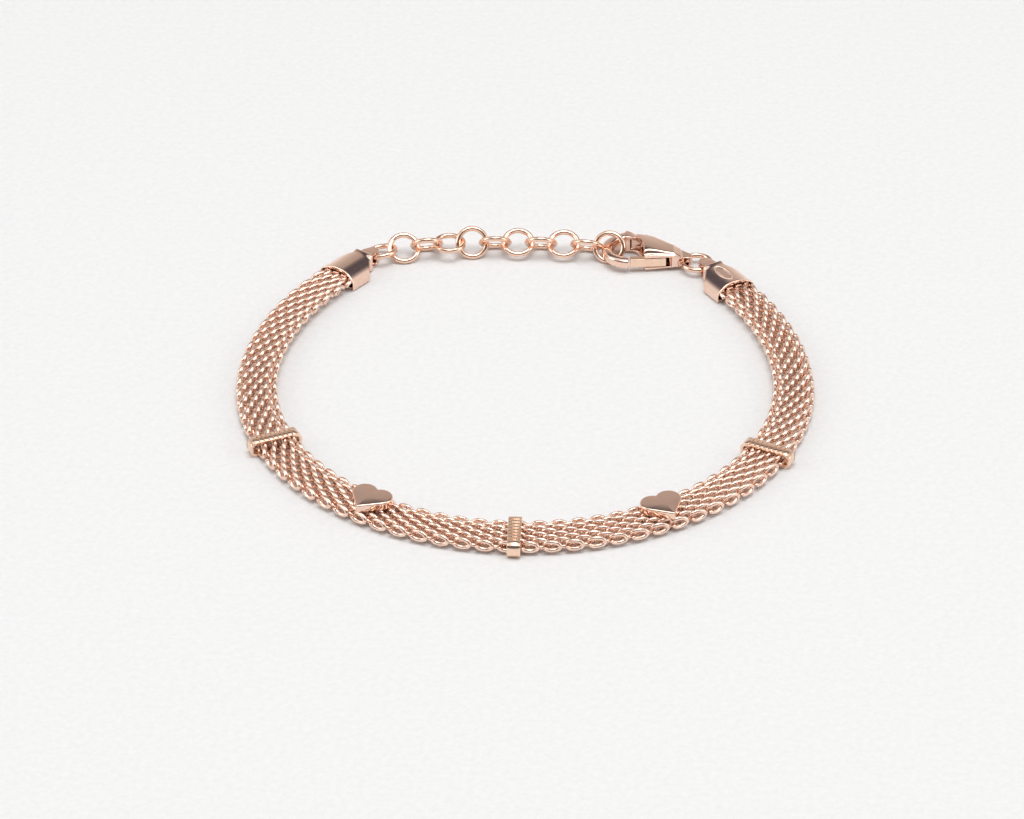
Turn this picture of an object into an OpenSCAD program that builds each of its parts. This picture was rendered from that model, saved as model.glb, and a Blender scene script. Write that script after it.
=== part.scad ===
// Mesh bracelet with hearts, grooved sliders, extension chain and lobster clasp, lying closed on a surface.
// Millimetres. The origin is the centre of the band's front curve, on the surface the bracelet lies on.
// +Z is up, -Y points to the front slider and +Y to the chain and clasp. X runs from the left cap to the right one.

/* [Loop] */
// Radius of the band's middle line round the front and sides
front_radius = 30.9; // [29:0.1:34]
// Radius of the flatter stretch before each end cap
flank_radius = 38; // [32:1:60]
// Length of the flatter stretch before each end cap
flank_length = 19; // [12:0.2:24]
// Angle that the closing run of chain, clasp and ring bows through
run_sweep = 28; // [16:1:36]

/* [Mesh band] */
// Width of the woven band
band_w = 4.75; // [3.6:0.05:6]
// Thickness of the woven band
band_t = 1.3; // [1:0.05:1.8]
// Rounding along the band's edges
band_edge_r = 0.4; // [0.2:0.05:0.5]
// Free space around the band inside a slider or cap
fit_gap = 0.03; // [0.02:0.01:0.06]

/* [Sliders] */
// Length of a slider along the band
slider_l = 1.5; // [1:0.1:2.5]
// Thickness of a slider over and under the band
slider_wall = 0.3; // [0.24:0.02:0.5]
// Thickness of a slider beside the band
slider_side = 0.42; // [0.3:0.02:0.6]
// Free space inside a slider beside the band
slider_play = 0.31; // [0.05:0.02:0.5]
// Rounding of a slider's outer corners
slider_corner_r = 0.85; // [0.6:0.05:0.95]
// Number of grooves across a slider's top
groove_count = 8; // [4:1:10]
// Radius of one groove
groove_r = 0.16; // [0.1:0.01:0.2]
// Depth of one groove
groove_depth = 0.1; // [0.05:0.01:0.14]
// Distance along the band from one slider or heart to the next
station_pitch = 17.4; // [14:0.2:20]
// Distance along the band from the middle of the front to the front slider
station_shift = 0.7; // [-2:0.1:2]

/* [Hearts] */
// Width of a heart across its lobes
heart_w = 4.95; // [3:0.05:5.2]
// Thickness of a heart
heart_t = 0.95; // [0.6:0.05:1.4]
// Height of a heart's bevelled edge
heart_bevel = 0.22; // [0.1:0.02:0.4]
// Distance from a heart's underside to the band
heart_seat_gap = 0.02; // [0.01:0.01:0.05]

/* [End caps] */
// Sheet thickness of a cap
cap_sheet = 0.2; // [0.16:0.02:0.3]
// Length of a cap's parallel part
cap_box_l = 3.0; // [2.6:0.1:4.6]
// Length of a cap's tapering part
cap_taper_l = 2.4; // [1.8:0.1:3.2]
// Length of band held inside a cap
cap_grip = 3; // [2:0.1:3.4]
// Rise of a cap's domed top over its edges
cap_dome = 0.28; // [0.1:0.02:0.4]
// Depth of the hollow cut in a cap's mouth edge
cap_mouth_depth = 0.4; // [0.2:0.05:0.6]
// Width of a cap's tip
cap_tip_w = 1.1; // [0.9:0.05:1.2]
// Length of the eye slot in a tip, along the cap
eye_slot_l = 1.3; // [1.3:0.05:1.5]
// Height of the eye slot in a tip
eye_slot_h = 1.16; // [1.06:0.02:1.24]
// Metal between the eye slot and the end of the tip
eye_bar = 0.6; // [0.5:0.05:1]
// Metal between the tapering part and the eye slot
eye_neck = 0.0; // [0:0.05:0.6]
// Angle that a ring hangs to the side in a cap's eye
ring_swing = 13; // [8:1:14]
// Length of the oval pad let into the right cap
pad_l = 3.4; // [2:0.1:3.6]
// Width of the oval pad
pad_w = 1.4; // [0.8:0.1:1.6]
// Depth of the oval pad
pad_depth = 0.07; // [0.04:0.01:0.1]

/* [Extension chain] */
// Outer diameter of a link
link_d = 4; // [3.8:0.1:5]
// Wire diameter of a link
link_wire = 0.6; // [0.5:0.02:0.64]
// Free play between two links
link_play = 0.06; // [0.04:0.01:0.12]
// Steepest lean of a link from flat
link_lean = 50; // [49:0.5:52]

/* [Jump ring] */
// Wire diameter of the jump ring, which is bent to the links' middle radius
ring_wire = 0.6; // [0.5:0.02:0.64]

/* [Clasp] */
// Radius of the clasp's round hook end
hook_r = 2.6; // [2.4:0.1:3.2]
// Thickness of the hook's wall in plan
hook_wall = 0.8; // [0.7:0.02:0.84]
// Height of the hook's bar
hook_h = 1; // [0.9:0.02:1.04]
// Rounding of the hook's bar
hook_round = 0.3; // [0.2:0.02:0.34]
// Free space between the hook's bar and the last link's wire
hook_slack = 1.02; // [0.98:0.02:1.2]
// Length of the clasp
clasp_l = 10.2; // [9.8:0.1:12]
// Height of the clasp's shells at their straight edge
clasp_h = 2.5; // [2.3:0.05:3]
// Rise of the domed upper shell
clasp_dome = 0.35; // [0.1:0.05:0.4]
// Radius of the swell in the clasp's plan, between hook and tail
swell_r = 2.2; // [1.9:0.05:2.3]
// Radius of the clasp's tail
tail_r = 0.6; // [0.55:0.05:0.85]
// Length of the mouth that the gate closes, from the hook's tip
mouth_l = 1.9; // [1.5:0.1:2.2]
// Height of the lever between the shells
lever_h = 1.1; // [0.9:0.02:1.2]
// Thickness of the lever's gate in plan
gate_t = 0.85; // [0.7:0.05:1]
// Gap between the hook's tip and the gate
gate_gap = 0.2; // [0.17:0.01:0.3]
// Free space over and under the lever
lever_play = 0.06; // [0.04:0.01:0.1]
// Radius of the lever's pivot pin
pin_r = 0.35; // [0.25:0.05:0.4]
// Running clearance round the pin
pin_play = 0.04; // [0.02:0.01:0.08]
// Opening angle that the lever has room for
lever_swing = 20; // [14:1:22]

/* [Hidden] */
$fn = 96;
eps = 0.01;
rose = [0.86, 0.58, 0.46];
rose_dark = [0.74, 0.46, 0.36];

// Heights over the surface: the sliders stand on it and carry the band
band_z0 = slider_wall + fit_gap;
band_z1 = band_z0 + band_t;
slider_w = band_w + 2 * (slider_play + slider_side);
slider_h = band_t + 2 * (fit_gap + slider_wall);
cap_z0 = band_z0 - fit_gap - cap_sheet;
cap_z1 = band_z1 + fit_gap + cap_sheet;
eye_z = (cap_z0 + cap_z1) / 2;

// Lean of each link from flat, about the chain's own line, and the height of the chain's line
link_leans = link_lean * [-0.24, 0.72, -0.96, 0.02, 1, -0.92, 0.5, -0.92, 0.5, -0.9, 1];
link_count = len(link_leans);
link_rc = (link_d - link_wire) / 2;
link_pitch = 2 * link_rc - link_wire - link_play;
chain_z = link_wire / 2 + link_rc * sin(link_lean) + eps;

// Places on the clasp, in its own frame: x from the hook to the tail, y from the gate to the spine
hook_c = [hook_r, hook_r];
swell_c = [hook_r + swell_r, hook_r + 0.15];
tail_c = [clasp_l - tail_r, 0.2 + tail_r];
tail_eye = [clasp_l - eye_bar * 0.7 - eye_slot_l / 2, tail_c[1]];
hook_seat = [hook_wall + hook_slack + link_wire / 2, hook_r + 0.4];
clasp_z = clasp_h / 2;
hook_tip_x = hook_r - 0.1;
gate_x0 = hook_tip_x + gate_gap;
mouth_x1 = hook_tip_x + mouth_l;
pivot = [mouth_x1 + 1.9, gate_t / 2 + 0.45];
hub_r = pin_r + 0.42;
hole_r = hook_r - hook_wall;
spine_wall = 0.5;

// The closing run: one arc from the middle of the first link to the middle of the jump ring
chain_run = (link_count - 1) * link_pitch + link_rc;
clasp_run = norm(tail_eye - hook_seat);
run_l = chain_run + clasp_run + link_rc;
run_r = run_l / (run_sweep * PI / 180);
run_chord = 2 * run_r * sin(run_sweep / 2);

// The band ends where the rings that hang from the two caps' eyes stand one chord apart
cap_eye_u = cap_box_l + cap_taper_l + eye_neck + eye_slot_l / 2;
cap_l = cap_eye_u + eye_slot_l / 2 + eye_bar;
flank_sweep = flank_length / flank_radius * 180 / PI;
swing = flank_sweep + ring_swing;
ring_reach = [
    front_radius - flank_radius * (1 - cos(flank_sweep)) - cap_eye_u * sin(flank_sweep) - link_rc * sin(swing),
    flank_radius * sin(flank_sweep) + cap_eye_u * cos(flank_sweep) + link_rc * cos(swing)
];
eye_turn = acos(run_chord / 2 / norm(ring_reach)) - atan2(ring_reach[1], ring_reach[0]);
run_y = norm(ring_reach) * sin(eye_turn + atan2(ring_reach[1], ring_reach[0]));
run_c = [0, run_y - run_r * cos(run_sweep / 2)];

function on_run(s) =
    let (a = 90 + run_sweep / 2 - s / run_r * 180 / PI)
    [run_c[0] + run_r * cos(a), run_c[1] + run_r * sin(a)];
function run_heading(s) = run_sweep / 2 - s / run_r * 180 / PI;

// Moves to the band's middle line, s mm from the front, with x along the band and y to its inner side
module along_band(s) {
    rotate([0, 0, s / front_radius * 180 / PI])
        translate([0, -front_radius, 0])
            children();
}

// Moves to a cap's mouth on the right, with x along the cap to its tip
module at_right_cap() {
    rotate([0, 0, eye_turn])
        translate([front_radius - flank_radius, 0, 0])
            rotate([0, 0, flank_sweep])
                translate([flank_radius, 0, 0])
                    rotate([0, 0, 90])
                        children();
}

module band_section(grow = 0) {
    r = band_edge_r + grow;
    w = band_w + 2 * grow;
    h = band_t + 2 * grow;
    translate([-w / 2 + r, -h / 2])
        square([w - 2 * r, h]);
    translate([-w / 2, -h / 2 + r])
        square([w, h - 2 * r]);
    for (x = [-1, 1], y = [-1, 1])
        translate([x * (w / 2 - r), y * (h / 2 - r)])
            circle(r = r);
}

// A straight length of the band's section along x, from x = 0
module band_bar(l, grow = 0) {
    translate([0, 0, (band_z0 + band_z1) / 2])
        rotate([90, 0, 90])
            linear_extrude(l)
                band_section(grow);
}

module band_arc(r, sweep, grow = 0) {
    translate([0, 0, (band_z0 + band_z1) / 2])
        rotate_extrude(angle = sweep)
            translate([r, 0])
                band_section(grow);
}

// Each stretch starts a little inside the one before it and is a hair slimmer, so that they join cleanly
module right_flank() {
    rotate([0, 0, eye_turn])
        translate([front_radius - flank_radius, 0, 0])
            rotate([0, 0, -0.3])
                band_arc(flank_radius, flank_sweep + 0.3, -0.01);
    at_right_cap()
        translate([-0.2, 0, 0])
            band_bar(cap_grip + 0.2, -0.02);
}

module mesh_band() {
    color(rose)
        union() {
            rotate([0, 0, -180 - eye_turn])
                band_arc(front_radius, 180 + 2 * eye_turn);
            right_flank();
            mirror([1, 0, 0])
                right_flank();
        }
}

// A slider's section, or with an inset the hollow inside its walls
module slider_section(side = 0, over = 0) {
    w = slider_w - 2 * side;
    h = slider_h - 2 * over;
    r = slider_corner_r - over;
    translate([-w / 2 + r, over])
        square([w - 2 * r, h]);
    translate([-w / 2, over + r])
        square([w, h - 2 * r]);
    for (x = [-w / 2 + r, w / 2 - r], z = [over + r, over + h - r])
        translate([x, z])
            circle(r = r);
}

module slider(s) {
    step = (slider_w - 2 * slider_corner_r) / groove_count;
    color(rose)
        along_band(s)
            difference() {
                translate([-slider_l / 2, 0, 0])
                    rotate([90, 0, 90])
                        linear_extrude(slider_l)
                            slider_section();
                translate([-slider_l / 2 - eps, 0, 0])
                    rotate([90, 0, 90])
                        linear_extrude(slider_l + 2 * eps)
                            slider_section(slider_side, slider_wall);
                for (k = [0 : groove_count - 1])
                    translate([0, (k + 0.5) * step - slider_w / 2 + slider_corner_r, slider_h + groove_r - groove_depth])
                        rotate([0, 90, 0])
                            cylinder(h = slider_l + 2, r = groove_r, center = true, $fn = 24);
            }
}

module slider_left() {
    slider(station_shift - 2 * station_pitch);
}

module slider_front() {
    slider(station_shift);
}

module slider_right() {
    slider(station_shift + 2 * station_pitch);
}

// A heart outline of the given width, its point towards -y
module heart_outline(w) {
    a = w / (1 + sqrt(0.5));
    rotate(45)
        square(a, center = true);
    for (x = [-1, 1])
        translate([x * a * sqrt(0.125), a * sqrt(0.125)])
            circle(r = a / 2);
}

module heart(s) {
    color(rose_dark)
        along_band(s)
            translate([0, -0.1, band_z1 + heart_seat_gap]) {
                linear_extrude(heart_t - heart_bevel)
                    heart_outline(heart_w);
                linear_extrude(heart_t)
                    heart_outline(heart_w - heart_bevel);
            }
}

module heart_left() {
    heart(station_shift - station_pitch);
}

module heart_right() {
    heart(station_shift + station_pitch);
}

// A cap's plan: parallel, then tapering to the round tip, with x along the cap from its mouth
module cap_plan() {
    w = band_w / 2 + fit_gap + cap_sheet;
    tip = cap_tip_w / 2;
    x2 = cap_box_l + cap_taper_l;
    polygon([
        [0, -w], [cap_box_l, -w], [x2, -tip], [cap_l - tip / 2, -tip],
        [cap_l, -tip / 2], [cap_l, tip / 2],
        [cap_l - tip / 2, tip], [x2, tip], [cap_box_l, w], [0, w]
    ]);
    for (y = [-tip / 2, tip / 2])
        translate([cap_l - tip / 2, y])
            circle(r = tip / 2);
}

// A cap's side view: the box, open at the top for the dome to close, and a slimmer tip
module cap_profile() {
    tip_z0 = eye_z - eye_slot_h / 2 - 0.22;
    tip_z1 = eye_z + eye_slot_h / 2 + 0.22;
    top = cap_z1 + cap_dome;
    x2 = cap_box_l + cap_taper_l;
    polygon([
        [-1, cap_z0], [x2 - 0.4, cap_z0], [x2, tip_z0], [cap_l + 1, tip_z0],
        [cap_l + 1, tip_z1], [x2, tip_z1], [x2 - 0.7, 2 * top - tip_z1], [-1, 2 * top - tip_z1]
    ]);
}

// A block's section under a dome: flat below, with a shallow parabola that falls by `rise` at its half width w
module domed_section(w, h, rise) {
    top = [for (k = [0 : 20]) let (x = (w + 0.5) * (1 - k / 10)) [x, h - rise * x * x / w / w]];
    polygon(concat([[-w - 0.5, 0], [w + 0.5, 0]], top));
}

module end_cap() {
    w = band_w / 2 + fit_gap + cap_sheet;
    mouth_r = (w * w + cap_mouth_depth * cap_mouth_depth) / (2 * cap_mouth_depth);
    difference() {
        intersection() {
            linear_extrude(cap_z1 + 1)
                cap_plan();
            translate([0, w + 1, 0])
                rotate([90, 0, 0])
                    linear_extrude(2 * w + 2)
                        cap_profile();
            translate([-1, 0, 0])
                rotate([90, 0, 90])
                    linear_extrude(cap_l + 2)
                        domed_section(w, cap_z1 + cap_dome, cap_dome);
        }
        translate([-eps, 0, 0])
            band_bar(cap_grip + fit_gap + eps, fit_gap);
        translate([cap_mouth_depth - mouth_r, 0, -1])
            cylinder(h = cap_z1 + 2, r = mouth_r);
        for (z = [-1, 1])
            translate([cap_eye_u, 0, eye_z + z * (eye_slot_h - eye_slot_l) / 2])
                rotate([90, 0, 0])
                    cylinder(h = 2 * w, r = eye_slot_l / 2, center = true);
        translate([cap_eye_u, 0, eye_z])
            cube([eye_slot_l, 2 * w, eye_slot_h - eye_slot_l], center = true);
    }
}

// The oval pad: what two equal circles share
module pad_outline() {
    r = (pad_l * pad_l + pad_w * pad_w) / (4 * pad_w);
    intersection_for (y = [-1, 1])
        translate([0, y * (r - pad_w / 2)])
            circle(r = r);
}

module end_cap_left() {
    color(rose_dark)
        mirror([1, 0, 0])
            at_right_cap()
                end_cap();
}

module end_cap_right() {
    color(rose_dark)
        at_right_cap()
            difference() {
                end_cap();
                translate([cap_box_l - 0.3, 0, cap_z1 + cap_dome - pad_depth])
                    linear_extrude(1)
                        pad_outline();
            }
}

module torus(rc, wire) {
    rotate_extrude()
        translate([rc, 0])
            circle(r = wire / 2, $fn = 48);
}

// Height of a link's middle: the first hangs in the cap's eye, the second lies on the surface, the rest are in line
function link_z(k) =
    k == 1 ? eye_z + 0.12 : k == 2 ? link_wire / 2 + link_rc * sin(link_leans[1]) + eps : chain_z;

// Link k of the chain, counted from 1 at the left cap: the first one pitches up a little from the cap's eye
module chain_link(k) {
    s = (k - 1) * link_pitch;
    p = on_run(s);
    color(rose)
        translate([p[0], p[1], link_z(k)])
            rotate([0, k == 1 ? -8 : 0, run_heading(s)])
                rotate([link_leans[k - 1], 0, 0])
                    torus(link_rc, link_wire);
}

module chain_link_01() { chain_link(1); }
module chain_link_02() { chain_link(2); }
module chain_link_03() { chain_link(3); }
module chain_link_04() { chain_link(4); }
module chain_link_05() { chain_link(5); }
module chain_link_06() { chain_link(6); }
module chain_link_07() { chain_link(7); }
module chain_link_08() { chain_link(8); }
module chain_link_09() { chain_link(9); }
module chain_link_10() { chain_link(10); }
module chain_link_11() { chain_link(11); }

module jump_ring() {
    p = on_run(run_l);
    color(rose)
        translate([p[0], p[1], eye_z])
            torus(link_rc, ring_wire);
}

// Moves to the clasp's frame: its hook seat and tail eye both lie on the closing run
module at_clasp() {
    a = on_run(chain_run);
    b = on_run(chain_run + clasp_run);
    own = atan2(tail_eye[1] - hook_seat[1], tail_eye[0] - hook_seat[0]);
    translate([a[0], a[1], 0])
        rotate([0, 0, atan2(b[1] - a[1], b[0] - a[0]) - own])
            translate([-hook_seat[0], -hook_seat[1], 0])
                children();
}

// What two circles' outer tangents enclose between them
module tangent_strip(c1, r1, c2, r2) {
    d = c2 - c1;
    lean = atan2(d[1], d[0]);
    open = acos((r1 - r2) / norm(d));
    up = [cos(lean + open), sin(lean + open)];
    down = [cos(lean - open), sin(lean - open)];
    polygon([c1 + r1 * up, c1 + r1 * down, c2 + r2 * down, c2 + r2 * up]);
}

// The clasp's plan: a big round hook end, a full body and a small round tail, joined by their tangents
module clasp_plan(grow = 0) {
    c = [hook_c, swell_c, tail_c];
    r = [hook_r + grow, swell_r + grow, tail_r + grow];
    for (k = [0 : 2])
        translate(c[k])
            circle(r = r[k]);
    for (pair = [[0, 1], [1, 2], [0, 2]])
        tangent_strip(c[pair[0]], r[pair[0]], c[pair[1]], r[pair[1]]);
}

// The clasp's side view: a slim hook, full shells and a slim tail
module clasp_profile() {
    h0 = clasp_z - hook_h / 2;
    h1 = clasp_z + hook_h / 2;
    t0 = eye_z - eye_slot_h / 2 - 0.2;
    t1 = eye_z + eye_slot_h / 2 + 0.2;
    shell_x = mouth_x1 - 0.1;
    neck_x = tail_c[0] - 1.6;
    neck_l = 1;
    hook_x = hook_r;
    top = clasp_h + clasp_dome;
    polygon([
        [-1, h0], [hook_x, h0], [shell_x, 0], [neck_x, 0], [neck_x + neck_l, t0], [clasp_l + 1, t0],
        [clasp_l + 1, t1], [neck_x + neck_l, t1], [neck_x - neck_l, 2 * top - t1],
        [2 * shell_x - hook_x, 2 * top - h1], [hook_x, h1], [-1, h1]
    ]);
}

// The hook's bar: a rounded section swept from inside the spine, round the left, to the tip
module hook_bar() {
    r = hook_round;
    w = hook_wall - 0.04;
    translate([hook_c[0], hook_c[1], clasp_z])
        rotate([0, 0, 76])
            rotate_extrude(angle = 192)
                translate([hook_r - hook_wall / 2, 0]) {
                    square([w - 2 * r, hook_h], center = true);
                    square([w, hook_h - 2 * r], center = true);
                    for (x = [-1, 1], y = [-1, 1])
                        translate([x * (w / 2 - r), y * (hook_h / 2 - r)])
                            circle(r = r);
                }
}

// The clasp's full-height part: shells, spine and tail, from the hook's middle to the tail's end
module clasp_shells() {
    lean = atan2(tail_c[1] - hook_c[1], tail_c[0] - hook_c[0]);
    intersection() {
        linear_extrude(clasp_h + 1)
            clasp_plan();
        translate([hook_r, 0, -1])
            cube([clasp_l, 3 * hook_r, clasp_h + 3]);
        translate([0, 2 * hook_r + 1, 0])
            rotate([90, 0, 0])
                linear_extrude(2 * hook_r + 2)
                    clasp_profile();
        translate(hook_c)
            rotate([90, 0, 90 + lean])
                translate([0, 0, -clasp_l])
                    linear_extrude(3 * clasp_l)
                        domed_section(hook_r, clasp_h + clasp_dome, clasp_dome);
    }
}

module clasp_body() {
    pocket_z0 = clasp_z - lever_h / 2 - lever_play;
    pocket_h = lever_h + 2 * lever_play;
    slot_x1 = pivot[0] + hub_r + 0.6;
    color(rose_dark)
        at_clasp()
            union() {
                hook_bar();
                difference() {
                    clasp_shells();
                    translate([hook_c[0], hook_c[1], -1])
                        cylinder(h = clasp_h + 3, r = hole_r);
                    // The mouth between the hook's tip and the shells
                    translate([hook_tip_x, -1, -1])
                        cube([mouth_x1 - hook_tip_x, hook_r + 1, clasp_h + 3]);
                    // The pocket between the shells, open towards the hole and the gate's side
                    translate([0, 0, pocket_z0])
                        linear_extrude(pocket_h)
                            intersection() {
                                clasp_plan(-spine_wall);
                                translate([hook_r + 0.5, -1])
                                    square([slot_x1 - hook_r - 0.5, 2 * hook_r + 1]);
                            }
                    translate([hook_tip_x, -1, pocket_z0])
                        cube([slot_x1 - hook_tip_x, 1.8, pocket_h]);
                    // The slot in the spine that the lever's thumb arm swings in
                    translate([pivot[0], pivot[1], pocket_z0])
                        linear_extrude(pocket_h)
                            polygon([
                                [0, 0],
                                3 * hook_r * [cos(90 - lever_swing), sin(90 - lever_swing)],
                                3 * hook_r * [cos(118), sin(118)]
                            ]);
                    translate([pivot[0], pivot[1], clasp_z])
                        cylinder(h = clasp_h - 0.5, r = pin_r + pin_play / 2, center = true);
                    for (z = [-1, 1])
                        translate([tail_eye[0], tail_eye[1], eye_z + z * (eye_slot_h - eye_slot_l) / 2])
                            rotate([90, 0, 0])
                                cylinder(h = 4 * tail_r, r = eye_slot_l / 2, center = true);
                    translate([tail_eye[0], tail_eye[1], eye_z])
                        cube([eye_slot_l, 4 * tail_r, eye_slot_h - eye_slot_l], center = true);
                }
            }
}

module clasp_pin() {
    color(rose_dark)
        at_clasp()
            translate([pivot[0], pivot[1], clasp_z])
                cylinder(h = clasp_h - 0.6, r = pin_r, center = true);
}

module clasp_lever() {
    arm_w = 0.9;
    thumb = [pivot[0] - 1.3, 2 * hook_r];
    arm = thumb - pivot;
    color(rose)
        at_clasp()
            translate([0, 0, clasp_z - lever_h / 2])
                linear_extrude(lever_h)
                    difference() {
                        union() {
                            translate([gate_x0, 0.05])
                                square([pivot[0] + 0.7 - gate_x0, gate_t]);
                            translate(pivot)
                                circle(r = hub_r);
                            translate(pivot)
                                rotate(atan2(arm[1], arm[0]))
                                    translate([0, -arm_w / 2])
                                        square([norm(arm), arm_w]);
                            translate(thumb)
                                circle(r = arm_w / 2 + 0.1);
                        }
                        translate(pivot)
                            circle(r = pin_r + pin_play);
                    }
}

mesh_band();
slider_left();
slider_front();
slider_right();
heart_left();
heart_right();
end_cap_left();
end_cap_right();
chain_link_01();
chain_link_02();
chain_link_03();
chain_link_04();
chain_link_05();
chain_link_06();
chain_link_07();
chain_link_08();
chain_link_09();
chain_link_10();
chain_link_11();
jump_ring();
clasp_body();
clasp_pin();
clasp_lever();
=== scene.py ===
import bpy
import math
import numpy as np
from mathutils import Matrix, Vector


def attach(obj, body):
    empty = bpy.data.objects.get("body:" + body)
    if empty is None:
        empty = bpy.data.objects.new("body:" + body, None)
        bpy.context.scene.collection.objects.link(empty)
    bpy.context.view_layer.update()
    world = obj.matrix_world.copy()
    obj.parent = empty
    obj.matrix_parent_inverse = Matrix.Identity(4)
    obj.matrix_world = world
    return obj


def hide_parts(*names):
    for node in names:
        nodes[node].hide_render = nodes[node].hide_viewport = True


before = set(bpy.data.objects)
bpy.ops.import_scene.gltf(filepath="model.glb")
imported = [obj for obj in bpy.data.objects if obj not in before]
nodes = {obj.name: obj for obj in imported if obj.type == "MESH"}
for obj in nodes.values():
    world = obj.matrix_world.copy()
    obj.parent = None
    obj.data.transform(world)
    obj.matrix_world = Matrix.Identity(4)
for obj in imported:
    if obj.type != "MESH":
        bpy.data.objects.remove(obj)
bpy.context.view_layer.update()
print("frame loaded with", len(nodes), "nodes")

# All lengths below are millimetres; meshes are written out in metres
mm = 0.001

# The band's middle line: a round front, a flatter flank on each side, then the straight part in each cap
loop = {
    "frontR": 30.9, "flankR": 38.0, "flankLen": 19.0, "eyeTurn": 7.305,
    "bandW": 4.75, "bandT": 1.3, "bandZ0": 0.33, "stationPitch": 17.4, "stationShift": 0.7,
}
frontEnd = loop["frontR"] * math.radians(90 + loop["eyeTurn"])
flankEnd = frontEnd + loop["flankLen"]


def onBand(s):
    # Place, heading and inward normal of the middle line at s mm from the front, for whole arrays
    s = np.asarray(s, dtype=float)
    a = np.abs(s)
    r1, r2 = loop["frontR"], loop["flankR"]
    phi1 = frontEnd / r1
    phi = np.where(a < frontEnd, a / r1, phi1 + (np.minimum(a, flankEnd) - frontEnd) / r2)
    # On the flank the circle's centre lies further out along the radius where the front arc ends
    cx = np.where(a < frontEnd, 0, (r1 - r2) * math.sin(phi1))
    cy = np.where(a < frontEnd, 0, -(r1 - r2) * math.cos(phi1))
    r = np.where(a < frontEnd, r1, r2)
    run = np.maximum(a - flankEnd, 0)
    x = cx + r * np.sin(phi) + run * np.cos(phi)
    y = cy - r * np.cos(phi) + run * np.sin(phi)
    side = np.where(s < 0, -1.0, 1.0)
    place = np.stack([x * side, y, np.zeros_like(x)], -1)
    heading = np.stack([np.cos(phi), np.sin(phi) * side, np.zeros_like(x)], -1)
    inward = np.stack([-np.sin(phi) * side, np.cos(phi), np.zeros_like(x)], -1)
    return place, heading, inward


def toBand(s, across, z):
    # Band coordinates to the shared frame: along the middle line, inward across it, and up
    place, heading, inward = onBand(s)
    return place + inward * np.asarray(across)[..., None] + np.stack([0 * z, 0 * z, z], -1)


def gridQuads(rows, cols, closeRows=False, closeCols=False, start=0):
    # Quad indices of a rows by cols grid of vertices, wrapped round where asked
    r = np.arange(rows if closeRows else rows - 1)[:, None]
    c = np.arange(cols if closeCols else cols - 1)[None, :]
    r2, c2 = (r + 1) % rows, (c + 1) % cols
    quads = np.stack(np.broadcast_arrays(r * cols + c, r * cols + c2, r2 * cols + c2, r2 * cols + c), -1)
    return quads.reshape(-1, 4) + start


def addPiece(name, verts, faces, material, body="bracelet", stands=(), sharp=None):
    # One mesh object from whole arrays of vertices in mm and faces, riding on its body
    mesh = bpy.data.meshes.new(name)
    mesh.from_pydata((np.asarray(verts) * mm).tolist(), [], [f.tolist() for f in faces])
    mesh.polygons.foreach_set("use_smooth", np.ones(len(mesh.polygons), dtype=bool))
    mesh.update()
    if sharp is not None:
        mesh.set_sharp_from_angle(angle=math.radians(sharp))
    obj = bpy.data.objects.new(name, mesh)
    bpy.context.scene.collection.objects.link(obj)
    mesh.materials.append(material)
    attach(obj, body)
    if stands:
        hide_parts(*stands)


def node(tree, kind, **sockets):
    # A shader node with values on its input sockets, whose names have _ for a space
    made = tree.nodes.new(kind)
    for key, value in sockets.items():
        made.inputs[key.replace("_", " ")].default_value = value
    return made


def newGroup(name, inputs, outputs):
    # A node group with its input and output nodes, from the kind of each named socket
    group = bpy.data.node_groups.new(name, "ShaderNodeTree")
    for way, sockets in (("INPUT", inputs), ("OUTPUT", outputs)):
        for socket, kind in sockets.items():
            group.interface.new_socket(socket, in_out=way, socket_type="NodeSocket" + kind)
    return group, group.nodes.new("NodeGroupInput"), group.nodes.new("NodeGroupOutput")


def toneGroup():
    # Soft blotches of warmer and paler metal, so that no surface is one flat colour
    inputs = {"Base": "Color", "Warm": "Color", "Scale": "Float"}
    group, gin, gout = newGroup("PlateTone", inputs, {"Color": "Color"})
    coord = group.nodes.new("ShaderNodeTexCoord")
    noise = node(group, "ShaderNodeTexNoise", Detail=3.0, Roughness=0.6)
    ramp = group.nodes.new("ShaderNodeValToRGB")
    ramp.color_ramp.elements[0].position = 0.35
    ramp.color_ramp.elements[1].position = 0.7
    mix = group.nodes.new("ShaderNodeMix")
    mix.data_type = "RGBA"
    group.links.new(coord.outputs["Object"], noise.inputs["Vector"])
    group.links.new(gin.outputs["Scale"], noise.inputs["Scale"])
    group.links.new(noise.outputs["Fac"], ramp.inputs["Fac"])
    group.links.new(ramp.outputs["Color"], mix.inputs["Factor"])
    group.links.new(gin.outputs["Base"], mix.inputs["A"])
    group.links.new(gin.outputs["Warm"], mix.inputs["B"])
    group.links.new(mix.outputs["Result"], gout.inputs["Color"])
    return group


def wearGroup():
    # Fine handling marks: roughness that varies in patches, and a faint bump
    inputs = {"Smooth": "Float", "Rough": "Float", "Scale": "Float"}
    group, gin, gout = newGroup("PolishWear", inputs, {"Roughness": "Float", "Height": "Float"})
    coord = group.nodes.new("ShaderNodeTexCoord")
    noise = node(group, "ShaderNodeTexNoise", Detail=5.0, Roughness=0.65)
    span = node(group, "ShaderNodeMapRange", From_Min=0.3, From_Max=0.75)
    group.links.new(coord.outputs["Object"], noise.inputs["Vector"])
    group.links.new(gin.outputs["Scale"], noise.inputs["Scale"])
    group.links.new(noise.outputs["Fac"], span.inputs["Value"])
    group.links.new(gin.outputs["Smooth"], span.inputs["To Min"])
    group.links.new(gin.outputs["Rough"], span.inputs["To Max"])
    group.links.new(span.outputs["Result"], gout.inputs["Roughness"])
    group.links.new(noise.outputs["Fac"], gout.inputs["Height"])
    return group


shared = {"tone": toneGroup(), "wear": wearGroup()}


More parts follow.
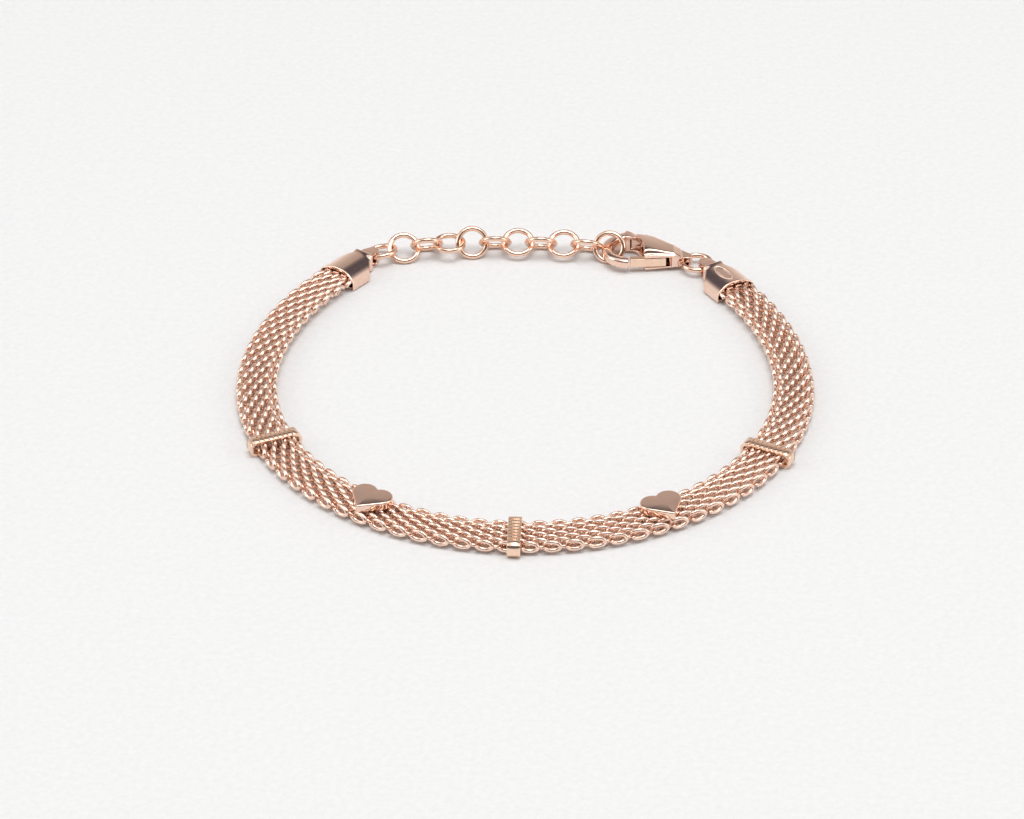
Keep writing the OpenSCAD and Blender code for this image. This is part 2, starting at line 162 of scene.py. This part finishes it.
def plateMaterial(name, base, warm, smooth, rough, toneScale, wearScale, bump):
    # Rose gold plate: a metallic shader with the shared tone and wear, whose bump is 0.02 mm deep at most
    mat = bpy.data.materials.new(name)
    mat.use_nodes = True
    tree = mat.node_tree
    shader = tree.nodes["Principled BSDF"]
    shader.inputs["Metallic"].default_value = 1.0
    shader.inputs["Coat Weight"].default_value = 0.0
    tone = tree.nodes.new("ShaderNodeGroup")
    tone.node_tree = shared["tone"]
    tone.inputs["Base"].default_value = (*base, 1)
    tone.inputs["Warm"].default_value = (*warm, 1)
    tone.inputs["Scale"].default_value = toneScale
    wear = tree.nodes.new("ShaderNodeGroup")
    wear.node_tree = shared["wear"]
    wear.inputs["Smooth"].default_value = smooth
    wear.inputs["Rough"].default_value = rough
    wear.inputs["Scale"].default_value = wearScale
    bumpNode = node(tree, "ShaderNodeBump", Strength=bump, Distance=0.00002)
    tree.links.new(tone.outputs["Color"], shader.inputs["Base Color"])
    tree.links.new(wear.outputs["Roughness"], shader.inputs["Roughness"])
    tree.links.new(wear.outputs["Height"], bumpNode.inputs["Height"])
    tree.links.new(bumpNode.outputs["Normal"], shader.inputs["Normal"])
    return mat


metal = {
    "mesh": plateMaterial("MeshWire", (0.98, 0.74, 0.615), (0.93, 0.655, 0.53),
                          0.20, 0.28, 900, 2600, 0.05),
    "wire": plateMaterial("LinkWire", (0.97, 0.69, 0.54), (0.92, 0.60, 0.45),
                          0.09, 0.16, 500, 1800, 0.06),
    "polish": plateMaterial("PolishedPlate", (0.95, 0.695, 0.57), (0.90, 0.62, 0.50),
                            0.06, 0.13, 220, 1500, 0.04),
    "pad": plateMaterial("PadPlate", (0.97, 0.78, 0.70), (0.93, 0.70, 0.60),
                         0.38, 0.50, 900, 2600, 0.30),
    "slider": plateMaterial("SliderPlate", (0.97, 0.72, 0.56), (0.92, 0.64, 0.48),
                            0.10, 0.20, 500, 1800, 0.08),
}
print("materials ready")

# The weave: flattened spirals across the band, each hooked through its neighbours half a turn out of step
weave = {
    "spacing": 1.175, "turns": 3, "reach": 0.82, "rise": 0.43, "wireR": 0.255,
    "steps": 26, "sides": 9, "capGrip": 1.9, "pressed": 0.5, "pressLen": 0.9, "pieces": 4,
}


def weaveVerts(stations):
    # Each turn is an ellipse seen from the band's side, along = reach * cos t and up = rise * sin t,
    # while the wire moves one pitch across the band per turn
    k = weave
    pitch = (loop["bandW"] - 2 * k["wireR"]) / (k["turns"] + 0.5)
    count = int((k["turns"] + 1) * k["steps"]) + 1
    t = np.linspace(-np.pi, 2 * np.pi * k["turns"] + np.pi, count)[None, :]
    odd = (np.arange(len(stations)) % 2)[:, None]
    # The wire stays at the edge for half a turn at each end, which closes the loop that shows there
    turned = np.clip(t, 0, 2 * np.pi * k["turns"]) / (2 * np.pi)
    along = k["reach"] * np.cos(t)
    # In the caps the mesh is pressed flatter
    nearCap = np.clip((np.abs(stations) - flankEnd) / k["pressLen"] + 1, 0, 1)[:, None]
    up = k["rise"] * (1 - k["pressed"] * nearCap) * np.sin(t)
    across = -loop["bandW"] / 2 + k["wireR"] + pitch * (turned + 0.5 * odd)
    u = stations[:, None] + along
    mid = loop["bandZ0"] + loop["bandT"] / 2
    line = toBand(u, across, mid + up)
    tangent = np.gradient(line, axis=1)
    tangent /= np.linalg.norm(tangent, axis=-1, keepdims=True)
    inward = onBand(u)[2]
    side = inward - (inward * tangent).sum(-1, keepdims=True) * tangent
    side /= np.linalg.norm(side, axis=-1, keepdims=True)
    lift = np.cross(tangent, side)
    a = np.linspace(0, 2 * np.pi, k["sides"], endpoint=False)
    ring = side[:, :, None] * np.cos(a)[:, None] + lift[:, :, None] * np.sin(a)[:, None]
    verts = line[:, :, None] + k["wireR"] * ring
    return verts.reshape(-1, 3), line, count


def weavePiece(name, stations, stands):
    verts, line, count = weaveVerts(stations)
    k = weave
    one = gridQuads(count, k["sides"], closeCols=True)
    per = count * k["sides"]
    first = np.arange(len(stations)) * per
    quads = (one[None] + first[:, None, None]).reshape(-1, 4)
    # Both ends of each spiral close on a small soldered point
    tips = line[:, [0, -1]].reshape(-1, 3)
    base = len(stations) * per
    ring = np.arange(k["sides"])
    starts = np.stack([first, first + per - k["sides"]], -1).ravel()
    fans = np.stack(np.broadcast_arrays(
        starts[:, None] + ring, starts[:, None] + (ring + 1) % k["sides"],
        (base + np.arange(len(starts)))[:, None]), -1).reshape(-1, 3)
    flip = (np.arange(len(starts)) % 2 == 0).repeat(k["sides"])
    fans[flip] = fans[flip][:, ::-1]
    addPiece(name, np.vstack([verts, tips]), list(quads) + list(fans), metal["mesh"],
             stands=stands)


meshHalf = flankEnd + weave["capGrip"]
allStations = np.arange(-meshHalf, meshHalf, weave["spacing"])
allStations -= (allStations[0] + allStations[-1]) / 2
# Each piece starts on an even spiral, so that the half-turn offset carries on across the joins
share = 2 * (len(allStations) // (2 * weave["pieces"]))
cuts = [i * share for i in range(weave["pieces"])] + [len(allStations)]
for i, (first, last) in enumerate(zip(cuts, cuts[1:])):
    weavePiece("weave_%d" % (i + 1), allStations[first:last], ["mesh_band"])
print("weave made from", len(allStations), "spirals")


def ringLoft(rings, capStart=None, capEnd=None):
    # Closed rings of equal size joined in order, with a fan to a centre point at an end that is closed
    rings = np.asarray(rings)
    rows, cols = rings.shape[:2]
    verts = rings.reshape(-1, 3)
    faces = list(gridQuads(rows, cols, closeCols=True))
    for centre, row, flip in ((capStart, 0, True), (capEnd, rows - 1, False)):
        if centre is None:
            continue
        verts = np.vstack([verts, centre])
        a = row * cols + np.arange(cols)
        b = row * cols + (np.arange(cols) + 1) % cols
        tip = np.full(cols, len(verts) - 1)
        tri = np.stack([b, a, tip] if flip else [a, b, tip], -1)
        faces += list(tri)
    return verts, faces


# Sliders: a grooved sleeve, rounded at the corners, closed round the band. Its ends are softened over
# `soft` mm, with one more ring `edge` says how far in along the band and across it; `dipHalf` is half a
# groove's width in groove pitches, and `square` the power of the hollow's superellipse
slider = {
    "len": 1.5, "wall": 0.3, "side": 0.42, "play": 0.31, "gap": 0.03, "corner": 0.85, "square": 5,
    "grooves": 8, "depth": 0.16, "dipHalf": 0.2, "soft": 0.05, "edge": (0.02, 0.03),
    "topPoints": 240, "cornerPoints": 19,
}


def sliderSection(inset):
    # The outer outline as points of a rounded rectangle; the top is let down by narrow grooves
    w = loop["bandW"] / 2 + slider["play"] + slider["side"] - inset
    h = loop["bandT"] + 2 * (slider["gap"] + slider["wall"])
    r = slider["corner"] - inset / 2
    z0, z1 = inset, h - inset
    flat = w - r
    top = np.linspace(flat, -flat, slider["topPoints"] + 1)[:-1]
    # Each groove is a cosine dip in the middle of its pitch
    phase = (top + flat) / (2 * flat) * slider["grooves"] % 1 - 0.5
    wave = 0.5 + 0.5 * np.cos(np.pi * phase / slider["dipHalf"])
    dip = np.where(np.abs(phase) < slider["dipHalf"], wave, 0)
    parts = [np.stack([top, z1 - slider["depth"] * dip], -1)]
    # Corners: the arc's centre, and the half turns at which its quarter turn starts
    corners = ((-flat, z1 - r, 0.5), (-flat, z0 + r, 1.0), (flat, z0 + r, 1.5), (flat, z1 - r, 0.0))
    for x, z, start in corners:
        a = np.pi * (start + np.linspace(0, 0.5, slider["cornerPoints"]))
        parts.append(np.stack([x + r * np.cos(a), z + r * np.sin(a)], -1))
    return np.vstack(parts)


def innerSection(grow):
    # The sleeve's hollow, (|x| / w)^square + (|z| / h)^square = 1, with as many points as the outline
    w = loop["bandW"] / 2 + slider["play"] + grow
    h = loop["bandT"] / 2 + slider["gap"] + grow
    outer = sliderSection(0)
    mid = loop["bandZ0"] + loop["bandT"] / 2
    a = np.arctan2((outer[:, 1] - mid) / h, outer[:, 0] / w)
    c, s = np.cos(a), np.sin(a)
    fit = (np.abs(c) ** slider["square"] + np.abs(s) ** slider["square"]) ** (-1 / slider["square"])
    return np.stack([w * c * fit, mid + h * s * fit], -1)


def makeSlider(name, station):
    # Rings over the outside from one end to the other and back through the hollow, each at its u mm along
    half, soft = slider["len"] / 2, slider["soft"]
    deep, slim = slider["edge"]
    outside = [(-half, soft), (deep - half, slim), (soft - half, 0.0), (0.0, 0.0)]
    outside += [(-u, inset) for u, inset in outside[2::-1]]
    hollow = [(half, soft), (half - soft, 0.0), (soft - half, 0.0), (-half, soft)]
    rings = [(u, sliderSection(inset)) for u, inset in outside]
    rings += [(u, innerSection(grow)) for u, grow in hollow]
    at = np.full(len(rings[0][1]), station)
    heading = onBand(at)[1]
    verts = np.stack([toBand(at, section[:, 0], section[:, 1]) + heading * u for u, section in rings])
    faces = gridQuads(len(rings), len(at), closeRows=True, closeCols=True)
    addPiece(name, verts.reshape(-1, 3), list(faces), metal["slider"],
             stands=[name.replace("trim", "slider")], sharp=50)


for name, station in (("trim_left", -2), ("trim_front", 0), ("trim_right", 2)):
    makeSlider(name, loop["stationShift"] + station * loop["stationPitch"])
print("sliders made")

# Hearts: a plump outline with a rolled upper edge and a very slightly crowned face. The foot is drawn in;
# `middle` is the face's highest point in the outline, and `shift` sets the outline across the band
heart = {
    "w": 4.95, "t": 0.95, "gap": 0.02, "bevel": 0.2, "bevelSteps": 7, "crown": 0.05, "points": 200,
    "rounds": 3, "footIn": 0.1, "footHigh": 0.06, "middle": 0.15, "shift": -0.1,
    "face": (0.97, 0.9, 0.75, 0.55, 0.3, 0.12),
}


def heartOutline(w):
    # Half circles on two sides of a square stood on its corner, walked round from the tip
    a = w / (1 + math.sqrt(0.5))
    d = a * math.sqrt(0.125)
    n = heart["points"]
    arcR = np.linspace(math.radians(-45), math.radians(135), n // 3)
    right = np.stack([d + a / 2 * np.cos(arcR), d + a / 2 * np.sin(arcR)], -1)
    right = right[right[:, 0] > 0]
    notch = math.sqrt(max((a / 2) ** 2 - d ** 2, 0))
    left = right[::-1] * [-1, 1]
    tip = np.array([0, -a * math.sqrt(0.5)])
    t = np.linspace(0, 1, n // 6)[1:-1, None]
    up = tip + (right[0] - tip) * t
    down = left[-1] + (tip - left[-1]) * t
    return np.vstack([[tip], up, right, [[0, d + notch]], left, down])


def smoothLoop(points, rounds):
    # Each round moves every point half the way to the middle of its neighbours
    for _ in range(rounds):
        points = 0.5 * points + 0.25 * (np.roll(points, 1, 0) + np.roll(points, -1, 0))
    return points


def makeHeart(name, station):
    # Rings from the foot up the side, round the bevel's quarter circle and over the face to its middle
    h = heart
    outline = smoothLoop(heartOutline(h["w"]), h["rounds"])
    step = np.roll(outline, -1, 0) - np.roll(outline, 1, 0)
    out = np.stack([step[:, 1], -step[:, 0]], -1)
    out /= np.linalg.norm(out, axis=-1, keepdims=True)
    rings = [(outline - out * h["footIn"], 0.0), (outline, h["footHigh"])]
    for a in np.linspace(0, np.pi / 2, h["bevelSteps"]):
        z = h["t"] - h["crown"] - h["bevel"] * (1 - np.sin(a))
        rings.append((outline - out * h["bevel"] * (1 - np.cos(a)), z))
    middle = np.array([0, h["middle"]])
    rim = rings[-1][0]
    for share in h["face"]:
        rings.append((middle + (rim - middle) * share, h["t"] - h["crown"] * share ** 2))
    foot = loop["bandZ0"] + loop["bandT"] + h["gap"]
    at = np.full(len(outline), station)
    heading = onBand(at)[1]
    place = [toBand(at, ring[:, 1] + h["shift"], np.full(len(at), foot + z)) + heading * ring[:, :1]
             for ring, z in rings]
    ends = toBand(at[:2], np.full(2, h["middle"] + h["shift"]), foot + np.array([0.0, h["t"]]))
    verts, faces = ringLoft(place, capStart=ends[0], capEnd=ends[1])
    addPiece(name, verts, faces, metal["polish"],
             stands=[name.replace("charm", "heart")], sharp=55)


makeHeart("charm_left", loop["stationShift"] - loop["stationPitch"])
makeHeart("charm_right", loop["stationShift"] + loop["stationPitch"])
print("hearts made")


def applied(obj):
    # The object's mesh with its modifiers worked in
    bpy.context.view_layer.update()
    mesh = bpy.data.meshes.new_from_object(obj.evaluated_get(bpy.context.evaluated_depsgraph_get()))
    obj.modifiers.clear()
    obj.data = mesh
    return mesh


def roundedCopy(name, source, material, body, voxel, rounds, reshape=None):
    # The solid is refined to an even grid, reshaped, and relaxed at its edges as a tumbled casting's are
    mesh = nodes[source].data.copy()
    mesh.transform(Matrix.Scale(1 / mm, 4))
    obj = bpy.data.objects.new(name, mesh)
    bpy.context.scene.collection.objects.link(obj)
    remesh = obj.modifiers.new("even", "REMESH")
    remesh.mode = "VOXEL"
    remesh.voxel_size = voxel
    mesh = applied(obj)
    if reshape:
        co = np.empty(len(mesh.vertices) * 3)
        mesh.vertices.foreach_get("co", co)
        mesh.vertices.foreach_set("co", reshape(co.reshape(-1, 3)).ravel())
        mesh.update()
    relax = obj.modifiers.new("relax", "CORRECTIVE_SMOOTH")
    relax.iterations = rounds
    relax.smooth_type = "LENGTH_WEIGHTED"
    relax.use_only_smooth = True
    done = applied(obj)
    done.transform(Matrix.Scale(mm, 4))
    done.polygons.foreach_set("use_smooth", np.ones(len(done.polygons), dtype=bool))
    done.materials.clear()
    done.materials.append(material)
    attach(obj, body)
    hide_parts(source)
    return obj


# Caps: mm in the cap's own frame, along from its mouth; the crown is a superellipse across
cap = {
    "midZ": 0.98, "half": 2.64, "crown": 2.3, "round": 0.5,
    "tipFrom": 4.4, "tipFull": 5.5, "tipEnd": 7.4, "spread": 0.85, "lift": 0.12,
}


def blend(x, low, high):
    # A smooth step from 0 at `low` to 1 at `high`
    t = np.clip((x - low) / (high - low), 0, 1)
    return t * t * (3 - 2 * t)


def rollShoulders(side):
    # The upper half of a cap falls towards its sides as a superellipse does, (1 - a^crown)^round at the
    # share a of its half width, and its taper runs on round the eye
    def shape(co):
        origin, heading, inward = onBand(np.array([side * flankEnd]))
        across = (co - origin[0]) @ inward[0]
        past = (co - origin[0]) @ heading[0] * side
        tip = blend(past, cap["tipFrom"], cap["tipFull"]) * (1 - blend(past, cap["tipFull"], cap["tipEnd"]))
        co = co + (across * cap["spread"] * tip)[:, None] * inward[0]
        share = np.clip(np.abs(across) / cap["half"], 0, 0.999)
        crown = (1 - share ** cap["crown"]) ** cap["round"]
        up = (co[:, 2] - cap["midZ"]) * (1 + cap["lift"] * tip)
        co[:, 2] = cap["midZ"] + np.where(up > 0, up * crown, up)
        return co
    return shape


# The clasp's own frame: x runs from its hook's centre to its tail, y across, and `circles` wrap its plan.
# Heights are halves, measured from the middle height: the hook's bar as drawn and as wished, the pocket
# between the shells, and the shells. A pair of numbers is where a blend along x or y starts and ends
clasp = {
    "hook": (10.526, 28.762), "heading": 7.37, "midZ": 1.25,
    "circles": (((0.0, 0.0), 2.6), ((2.2, 0.15), 2.2), ((7.0, -1.8), 0.6)),
    "barR": 2.1, "fuller": 0.75, "fullerX": (-0.1, 1.4),
    "backFuller": 1.1, "backX": (-0.1, 2.6), "backY": (-0.6, 2.2),
    "drawnBar": 0.5, "bar": 0.65, "climbX": (-2.4, 0.9), "climbY": (-0.4, 1.2),
    "shellFront": 0.9, "pocket": 0.62, "shell": 1.25, "shellT": 0.66, "thinnest": 0.1,
    "roundR": 0.7, "leverR": 0.315, "roundY": (-1.08, 0.12), "slim": 0.55, "slimX": (2.0, 6.2),
}


def claspShape(co):
    k = clasp
    turn = math.radians(k["heading"])
    along = np.array([math.cos(turn), math.sin(turn)])
    across = np.array([-math.sin(turn), math.cos(turn)])
    flat = co[:, :2] - np.array(k["hook"])
    local = np.stack([flat @ along, flat @ across], -1)
    x, y = local[:, 0], local[:, 1]
    # Left of the shells the hook's bar swells outwards beyond barR, and most at its back
    fade = 1 - blend(x, *k["fullerX"])
    back = blend(y, *k["backY"]) * (1 - blend(x, *k["backX"]))
    gain = k["fuller"] * fade + k["backFuller"] * back
    r = np.linalg.norm(local, axis=1)
    wider = np.where(r > k["barR"], k["barR"] + (r - k["barR"]) * (1 + gain), r)
    # At its back the bar also climbs to meet the shells
    drawn = k["drawnBar"] + (k["shell"] - k["drawnBar"]) * np.clip(x / k["shellFront"], 0, 1)
    climb = blend(x, *k["climbX"]) * blend(y, *k["climbY"])
    wish = k["bar"] + (k["shell"] - k["bar"]) * climb
    # Depth inside the plan: the most that any circle wrapped by it, hook to tail, reaches past the point
    depth = np.full(len(co), -1.0)
    for (start, r0), (end, r1) in zip(k["circles"], k["circles"][1:]):
        for t in np.linspace(0, 1, 40):
            centre = np.array(start) * (1 - t) + np.array(end) * t
            depth = np.maximum(depth, r0 * (1 - t) + r1 * t - np.linalg.norm(local - centre, axis=1))
    # A quarter circle lets the shells' outer edges fall, less beside the lever, and they thin to the tail
    low, full = k["roundY"]
    edge = k["leverR"] + (k["roundR"] - k["leverR"]) * np.clip((y - low) / (full - low), 0, 1)
    short = 1 - np.clip(depth / edge, 0, 1)
    fall = np.clip(edge * (1 - np.sqrt(1 - short ** 2)) / k["shellT"], 0, 1 - k["thinnest"])
    keep = (1 - fall * (1 - fade)) * (1 - k["slim"] * blend(x, *k["slimX"]))
    up = co[:, 2] - k["midZ"]
    high = np.minimum(np.abs(up), k["pocket"]) + np.maximum(np.abs(up) - k["pocket"], 0) * keep
    high = np.where(x < k["shellFront"], high * np.maximum(wish / drawn, 1), high)
    co[:, 2] = k["midZ"] + np.sign(up) * high
    co[:, :2] = np.array(k["hook"]) + flat * (wider / np.maximum(r, 0.01))[:, None]
    return co


# Castings: the CAD node, its finish and body, the voxel size in mm, rounds of relaxing, and its reshaping
casting = {
    "cap_left": ("end_cap_left", "polish", "bracelet", 0.05, 24, rollShoulders(-1)),
    "cap_right": ("end_cap_right", "polish", "bracelet", 0.05, 24, rollShoulders(1)),
    "clasp_shell": ("clasp_body", "polish", "bracelet", 0.05, 40, claspShape),
    "clasp_gate": ("clasp_lever", "slider", "clasp_lever", 0.045, 14, None),
}
for name, (source, finish, body, voxel, rounds, reshape) in casting.items():
    made = roundedCopy(name, source, metal[finish], body, voxel, rounds, reshape)
    print(name, "has", len(made.data.polygons), "faces")


# Solder: the mesh's end is filled inside each cap, which closes the view into it
plug = {
    "along": (0.45, 0.5, 2.85, 2.9), "inset": (0.06, 0.0, 0.0, 0.06),
    "halfW": 2.2, "halfT": 0.34, "square": 0.3, "points": 32,
}


def makePlug(name, side):
    # A superellipse drawn along the band, half width * |cos|^square by half height * |sin|^square
    a = np.linspace(0, 2 * np.pi, plug["points"], endpoint=False)
    c, s = np.cos(a), np.sin(a)
    rings = []
    for step, shrink in zip(plug["along"], plug["inset"]):
        across = (plug["halfW"] - shrink) * np.sign(c) * np.abs(c) ** plug["square"]
        up = (plug["halfT"] - shrink) * np.sign(s) * np.abs(s) ** plug["square"]
        rings.append(toBand(np.full(len(a), side * (flankEnd + step)), across, cap["midZ"] + up))
    middle = side * (flankEnd + np.array(plug["along"])[[0, -1]])
    ends = toBand(middle, np.zeros(2), np.full(2, cap["midZ"]))
    verts, faces = ringLoft(rings, capStart=ends[0], capEnd=ends[1])
    if side > 0:
        faces = [face[::-1] for face in faces]
    addPiece(name, verts, faces, metal["mesh"])


makePlug("solder_left", -1)
makePlug("solder_right", 1)

# The bare oval pad on the right cap: a shallow dish with a thin raised rim, `at` mm from the cap's mouth
pad = {
    "at": 2.7, "len": 3.4, "w": 1.4, "floor": 2.065, "thick": 0.08,
    "rim": 0.035, "crown": 2.14, "fall": 0.39, "points": 96,
}


def makePad():
    # From the dish's middle out over the rim and back below: the share of the oval's size, whether the
    # ring follows the cap's crown, and its height, in rims over the crown or in mm over the dish
    t = np.linspace(0, 2 * np.pi, pad["points"], endpoint=False)
    rings = []
    steps = (
        (0.30, False, 0.0), (0.80, False, 0.0), (0.86, False, 0.01), (0.90, True, 0.4), (0.94, True, 0.9),
        (0.98, True, 0.9), (1.02, True, 0.2), (1.03, True, -1.5),
        (1.0, False, -pad["thick"]), (0.4, False, -pad["thick"]),
    )
    for share, onDome, lift in steps:
        along = pad["len"] / 2 * share * np.cos(t)
        across = pad["w"] / 2 * share * np.sin(t)
        # The cap's crown falls away as a parabola across its width
        crown = pad["crown"] - pad["fall"] * (across / cap["half"]) ** 2 + pad["rim"] * lift
        z = crown if onDome else np.full_like(t, pad["floor"] + lift)
        rings.append(toBand(flankEnd + pad["at"] + along, across, z))
    heights = np.array([pad["floor"], pad["floor"] - pad["thick"]])
    middle = toBand(np.full(2, flankEnd + pad["at"]), np.zeros(2), heights)
    verts, faces = ringLoft(rings, capStart=middle[0], capEnd=middle[1])
    faces = [face[::-1] for face in faces]
    addPiece("cap_pad", verts, faces, metal["pad"], sharp=40)


makePad()
nodes["clasp_pin"].data.materials.clear()
nodes["clasp_pin"].data.materials.append(metal["polish"])

# Chain links and the jump ring: drawn wire bent round, with a small soldered seam
wireRing = {
    "radius": 1.7, "wire": 0.64, "rings": 72, "sides": 16,
    "seam": 0.03, "seamAt": 0.6, "seamWide": 0.16, "shrink": 0.004,
}


def ringFrame(source):
    # The circle of a CAD ring from its own vertices: centre, and two axes of its plane by their spread
    mesh = nodes[source].data
    co = np.empty(len(mesh.vertices) * 3)
    mesh.vertices.foreach_get("co", co)
    co = co.reshape(-1, 3) / mm
    low, high = co.min(0), co.max(0)
    centre = (low + high) / 2
    _, _, axes = np.linalg.svd(co - centre, full_matrices=False)
    return centre, axes[0], axes[1]


def makeRing(name, source):
    # The ring runs along * cos t + side * sin t, and its wire swells a touch, as exp(-x^2), at the seam
    k = wireRing
    centre, along, side = ringFrame(source)
    t = np.linspace(0, 2 * np.pi, k["rings"], endpoint=False)
    seam = np.exp(-(((t - k["seamAt"]) / k["seamWide"]) ** 2))
    out = np.cos(t)[:, None] * along + np.sin(t)[:, None] * side
    normal = np.cross(along, side)
    a = np.linspace(0, 2 * np.pi, k["sides"], endpoint=False)
    r = k["wire"] / 2 * (1 - k["shrink"] + k["seam"] * seam)[:, None, None]
    section = out[:, None] * np.cos(a)[:, None] + normal * np.sin(a)[:, None]
    verts = centre + k["radius"] * out[:, None] + r * section
    faces = gridQuads(len(t), len(a), closeRows=True, closeCols=True)
    addPiece(name, verts.reshape(-1, 3), list(faces), metal["wire"], stands=[source])


for link in range(1, 12):
    makeRing("link_%02d" % link, "chain_link_%02d" % link)
makeRing("closing_ring", "jump_ring")
print("chain made")

# Floor: a pale sheet with a fine tooth, in metres
sheet = {
    "x": 0.9, "front": -0.7, "back": 1.1, "roughness": 0.75, "shine": 0.2,
    "toothScale": 1400.0, "toothHigh": 0.0002, "toothBump": 0.25,
    "grain": ((0.3, (0.785, 0.792, 0.798)), (0.7, (0.845, 0.852, 0.858))),
}
floorMat = bpy.data.materials.new("PaleSheet")
floorMat.use_nodes = True
tree = floorMat.node_tree
shader = tree.nodes["Principled BSDF"]
shader.inputs["Roughness"].default_value = sheet["roughness"]
shader.inputs["Specular IOR Level"].default_value = sheet["shine"]
coord = tree.nodes.new("ShaderNodeTexCoord")
tooth = node(tree, "ShaderNodeTexNoise", Scale=sheet["toothScale"], Detail=4.0, Roughness=0.7)
toothBump = node(tree, "ShaderNodeBump", Strength=sheet["toothBump"], Distance=sheet["toothHigh"])
grain = tree.nodes.new("ShaderNodeValToRGB")
for stop, (position, colour) in zip(grain.color_ramp.elements, sheet["grain"]):
    stop.position = position
    stop.color = (*colour, 1)
tree.links.new(coord.outputs["Object"], tooth.inputs["Vector"])
tree.links.new(tooth.outputs["Fac"], toothBump.inputs["Height"])
tree.links.new(toothBump.outputs["Normal"], shader.inputs["Normal"])
tree.links.new(tooth.outputs["Fac"], grain.inputs["Fac"])
tree.links.new(grain.outputs["Color"], shader.inputs["Base Color"])

floorMesh = bpy.data.meshes.new("floor")
corners = ((-sheet["x"], sheet["front"]), (sheet["x"], sheet["front"]), (sheet["x"], sheet["back"]),
           (-sheet["x"], sheet["back"]))
floorMesh.from_pydata([(x, y, 0) for x, y in corners], [], [(0, 1, 2, 3)])
floor = bpy.data.objects.new("floor", floorMesh)
bpy.context.scene.collection.objects.link(floor)
floorMesh.materials.append(floorMat)


def addLight(name, place, size, sizeY, power, color):
    # A rectangular softbox turned to the middle of the loop
    data = bpy.data.lights.new(name, "AREA")
    data.shape = "RECTANGLE"
    data.size, data.size_y = size, sizeY
    data.energy = power
    data.color = color
    light = bpy.data.objects.new(name, data)
    light.location = place
    light.rotation_euler = (-Vector(place)).to_track_quat("-Z", "Y").to_euler()
    bpy.context.scene.collection.objects.link(light)


addLight("softbox_top", (0.05, -0.05, 0.8), 0.6, 0.4, 2.75, (1.0, 0.995, 0.99))
addLight("softbox_left", (-0.8, -0.1, 0.45), 0.4, 0.5, 1.3, (1.0, 0.99, 0.98))
addLight("softbox_right", (0.8, -0.1, 0.45), 0.4, 0.5, 1.0, (1.0, 0.99, 0.98))

# A light tent: white overhead and at the sides. Behind, the flat tops mirror a tan wall with a dark
# band over it, and a dark patch stands where the camera does
world = bpy.data.worlds.new("studio")
bpy.context.scene.world = world
world.use_nodes = True
tree = world.node_tree
way = tree.nodes.new("ShaderNodeTexCoord")
parts = tree.nodes.new("ShaderNodeSeparateXYZ")
tree.links.new(way.outputs["Generated"], parts.inputs["Vector"])


def heightRamp(colours):
    # Colours by the sine of the height above the horizon; below it the first one stays
    ramp = tree.nodes.new("ShaderNodeValToRGB")
    stops = ramp.color_ramp.elements
    stops[0].color = (*colours[0][1], 1)
    stops[1].color = (*colours[-1][1], 1)
    for position, colour in colours[1:-1]:
        stops.new(position).color = (*colour, 1)
    tree.links.new(parts.outputs["Z"], ramp.inputs["Fac"])
    return ramp


def facing(low, high):
    # How far a direction turns to the front or the back, from 0 at `low` to 1 at `high`
    span = node(tree, "ShaderNodeMapRange", From_Min=low, From_Max=high)
    span.interpolation_type = "SMOOTHSTEP"
    tree.links.new(parts.outputs["Y"], span.inputs["Value"])
    return span


tent = {
    "sides": heightRamp(((0.0, (0.84, 0.83, 0.815)), (0.5, (0.86, 0.845, 0.83)), (0.8, (0.96, 0.95, 0.94)),
                         (1.0, (0.95, 0.945, 0.94)))),
    "back": heightRamp(((0.0, (0.82, 0.80, 0.78)), (0.25, (0.66, 0.61, 0.57)), (0.50, (0.50, 0.45, 0.42)),
                        (0.59, (0.45, 0.41, 0.385)), (0.65, (0.20, 0.19, 0.195)), (0.70, (0.10, 0.10, 0.12)),
                        (0.80, (0.10, 0.10, 0.12)), (0.86, (1.0, 0.99, 0.98)), (1.0, (1.0, 0.995, 0.99)))),
    "front": heightRamp(((0.0, (0.82, 0.81, 0.795)), (0.20, (0.80, 0.79, 0.775)), (0.30, (0.14, 0.13, 0.13)),
                         (0.80, (0.14, 0.13, 0.13)), (0.87, (1.0, 0.99, 0.98)), (1.0, (1.0, 0.995, 0.99)))),
}
light = tent["sides"].outputs["Color"]
for key, low, high in (("back", 0.25, 0.5), ("front", -0.3, -0.5)):
    mix = tree.nodes.new("ShaderNodeMix")
    mix.data_type = "RGBA"
    tree.links.new(facing(low, high).outputs["Result"], mix.inputs["Factor"])
    tree.links.new(light, mix.inputs["A"])
    tree.links.new(tent[key].outputs["Color"], mix.inputs["B"])
    light = mix.outputs["Result"]
tree.links.new(light, tree.nodes["Background"].inputs["Color"])
tree.nodes["Background"].inputs["Strength"].default_value = 1.0

# Camera: 33.5 degrees up, 604 mm from the spot that the picture's centre shows
view = {"place": (0.0302, -0.5067, 0.3335), "aim": (-0.00125, -0.0041, 0), "lens": 185.3, "sensor": 36}
cameraData = bpy.data.cameras.new("camera")
cameraData.sensor_width = view["sensor"]
cameraData.lens = view["lens"]
cameraData.clip_start = 0.01
camera = bpy.data.objects.new("camera", cameraData)
camera.location = view["place"]
camera.rotation_euler = (Vector(view["aim"]) - Vector(view["place"])).to_track_quat("-Z", "Y").to_euler()
bpy.context.scene.collection.objects.link(camera)
bpy.context.scene.camera = camera
bpy.context.scene.view_settings.view_transform = "Standard"

bpy.context.view_layer.update()
print("scene ready")
